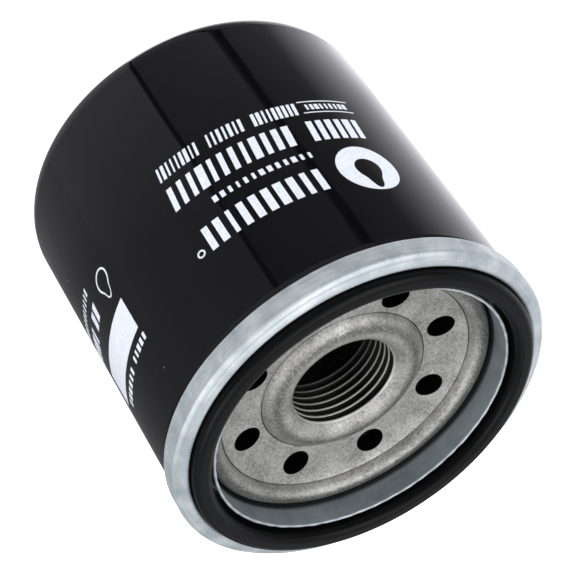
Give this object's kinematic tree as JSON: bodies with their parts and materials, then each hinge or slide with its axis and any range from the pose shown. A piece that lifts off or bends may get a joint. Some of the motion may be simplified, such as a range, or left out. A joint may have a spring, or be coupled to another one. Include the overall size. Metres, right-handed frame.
{
  "type": "spin-on oil filter",
  "caption": "Spin-on oil filter: black steel can with a rolled lid seam, threaded base plate ringed by inlet holes, standing rubber gasket, pleated element, bypass and anti-drain valves.",
  "frame": {"origin": "centre of the closed end's flat resting face, on the thread axis", "axes": "+Z along the thread axis, out of the threaded end; +X through the centre of one inlet hole"},
  "size_m": [0.067, 0.067, 0.0681],
  "materials": {
    "can": "gloss black enamel on drawn steel",
    "seaming_lid": "zinc plated steel, bluish",
    "seam_compound": "cured sealing compound",
    "base_plate": "tumbled grey phosphated steel",
    "sealing_gasket": "satin nitrile rubber",
    "anti_drain_rim": "black nitrile rubber, satin",
    "anti_drain_web": "black nitrile rubber, satin",
    "anti_drain_lip": "black nitrile rubber, satin",
    "open_end_cap": "bare tinned steel",
    "open_end_potting": "red cured plastisol",
    "pleated_media": "resin treated filter paper",
    "pleat_clip": "bare steel strip",
    "centre_tube": "bare steel, perforated",
    "closed_end_potting": "red cured plastisol",
    "closed_end_cap": "bare tinned steel",
    "bypass_seat": "yellow passivated steel or brass",
    "bypass_seal": "black nitrile washer",
    "bypass_poppet": "bare steel",
    "bypass_stem": "turned steel",
    "bypass_spring": "spring wire",
    "bypass_cage": "pressed steel",
    "support_spring": "tempered spring steel"
  },
  "bodies": {
    "housing": {"can": "can", "seaming_lid": "seaming_lid", "seam_compound": "seam_compound", "base_plate": "base_plate", "sealing_gasket": "sealing_gasket", "anti_drain_rim": "anti_drain_rim", "anti_drain_web": "anti_drain_web", "open_end_cap": "open_end_cap", "open_end_potting": "open_end_potting", "pleated_media": "pleated_media", "pleat_clip": "pleat_clip", "centre_tube": "centre_tube", "closed_end_potting": "closed_end_potting", "closed_end_cap": "closed_end_cap", "bypass_seat": "bypass_seat", "bypass_spring": "bypass_spring", "bypass_cage": "bypass_cage", "support_spring": "support_spring"},
    "bypass_valve": {"bypass_poppet": "bypass_poppet", "bypass_seal": "bypass_seal", "bypass_stem": "bypass_stem"},
    "anti_drain_flap": {"anti_drain_lip": "anti_drain_lip"}
  },
  "joints": [
    {"name": "bypass_lift", "type": "slide", "parent": "housing", "child": "bypass_valve", "axis": [0, 0, 1], "range_m": [0, 0.003], "stiffness_N_per_m": 1500, "springref_m": -0.005, "deforming": ["bypass_spring"]},
    {"name": "anti_drain_lift", "type": "slide", "parent": "housing", "child": "anti_drain_flap", "axis": [0, 0, -1], "range_m": [0, 0.0016], "stiffness_N_per_m": 300, "springref_m": -0.0005, "deforming": ["anti_drain_web"]}
  ]
}
